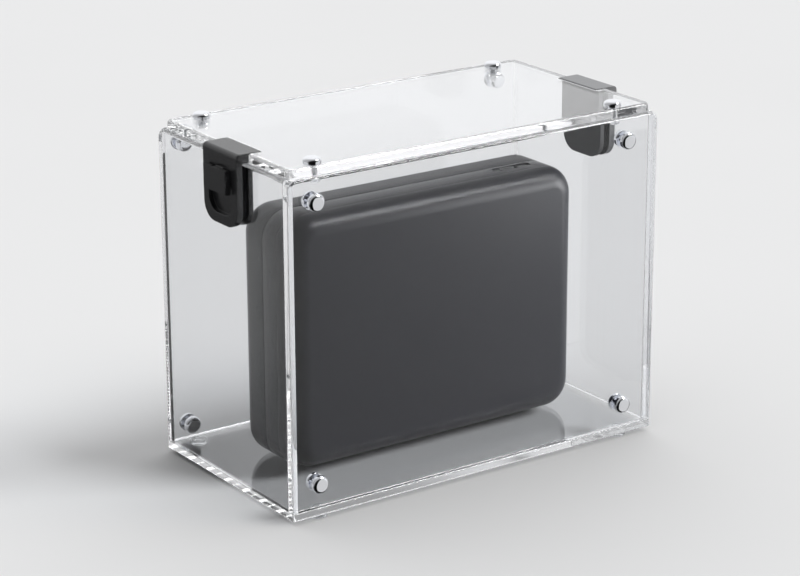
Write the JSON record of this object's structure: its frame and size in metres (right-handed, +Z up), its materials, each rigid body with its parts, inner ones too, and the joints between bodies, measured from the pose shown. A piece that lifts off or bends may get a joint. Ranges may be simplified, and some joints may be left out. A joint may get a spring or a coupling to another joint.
{
  "type": "donation box",
  "caption": "Clear acrylic donation box with a lift-off lid, black and grey over-edge clips, chrome stud caps, clear feet and a dark rounded cash case inside.",
  "frame": {"origin": "middle of the box's footprint on the surface that its four feet stand on, with the chrome caps and clips counted in", "axes": "+X to the right along the long side, -Y out of the front face, +Z up"},
  "size_m": [0.3242, 0.174, 0.2475],
  "materials": {
    "clear_acrylic": "clear cast acrylic sheet with flame-polished edges",
    "clear_bumper": "clear soft vinyl, glossy",
    "chrome": "polished chrome plate",
    "steel": "plain zinc-plated steel",
    "clip_plastic": "black moulded plastic, fine satin",
    "clip_grey": "grey moulded plastic, satin",
    "rubber": "matt black rubber",
    "case_shell": "graphite soft-touch moulding, satin",
    "screw_black": "blackened steel",
    "latch_plastic": "dark satin moulding"
  },
  "bodies": {
    "box": {"base_plate": "clear_acrylic", "front_wall": "clear_acrylic", "back_wall": "clear_acrylic", "left_wall": "clear_acrylic", "right_wall": "clear_acrylic", "feet": "clear_bumper", "front_outer_caps": "chrome", "front_inner_caps": "chrome", "front_studs": "steel", "back_outer_caps": "chrome", "back_inner_caps": "chrome", "back_studs": "steel"},
    "lid": {"lid_plate": "clear_acrylic", "lid_bosses": "clear_acrylic", "lid_caps": "chrome", "lid_studs": "steel"},
    "left_clip": {"left_clip_body": "clip_plastic", "left_clip_linings": "rubber", "left_clip_pin": "steel"},
    "left_paddle": {"left_clip_paddle": "clip_plastic"},
    "right_clip": {"right_clip_body": "clip_grey", "right_clip_linings": "rubber", "right_clip_pin": "steel"},
    "right_paddle": {"right_clip_paddle": "clip_grey"},
    "case": {"case_back_shell": "case_shell", "case_seal": "rubber", "case_back_leaves": "steel", "case_hinge_pins": "steel", "case_back_screws": "screw_black", "case_latch_keeper": "steel", "case_back_feet": "rubber"},
    "case_cover": {"case_front_shell": "case_shell", "case_front_leaves": "steel", "case_front_screws": "screw_black", "case_latch_plate": "latch_plastic", "case_front_feet": "rubber"},
    "latch_button": {"case_latch_slider": "latch_plastic"}
  },
  "joints": [
    {"name": "lid_lift", "type": "slide", "parent": "box", "child": "lid", "axis": [0, 0, 1], "range_m": [0, 0.26]},
    {"name": "left_clip_lift", "type": "slide", "parent": "lid", "child": "left_clip", "axis": [0, 0, 1], "range_m": [0, 0.07]},
    {"name": "left_paddle_swing", "type": "hinge", "parent": "left_clip", "child": "left_paddle", "pos_m": [-0.1597, -0.0085, 0.2295], "axis": [0, 1, 0], "range_deg": [0, 35]},
    {"name": "right_clip_lift", "type": "slide", "parent": "lid", "child": "right_clip", "axis": [0, 0, 1], "range_m": [0, 0.07]},
    {"name": "right_paddle_swing", "type": "hinge", "parent": "right_clip", "child": "right_paddle", "pos_m": [0.1597, -0.0085, 0.2295], "axis": [0, -1, 0], "range_deg": [0, 35]},
    {"name": "case_lift", "type": "slide", "parent": "box", "child": "case", "axis": [0, 0, 1], "range_m": [0, 0.035]},
    {"name": "case_cover_swing", "type": "hinge", "parent": "case", "child": "case_cover", "pos_m": [-0.1113, 0.003, 0.10025], "axis": [0, 0, -1], "range_deg": [0, 8]},
    {"name": "latch_slide", "type": "slide", "parent": "case_cover", "child": "latch_button", "axis": [1, 0, 0], "range_m": [0, 0.008]}
  ]
}
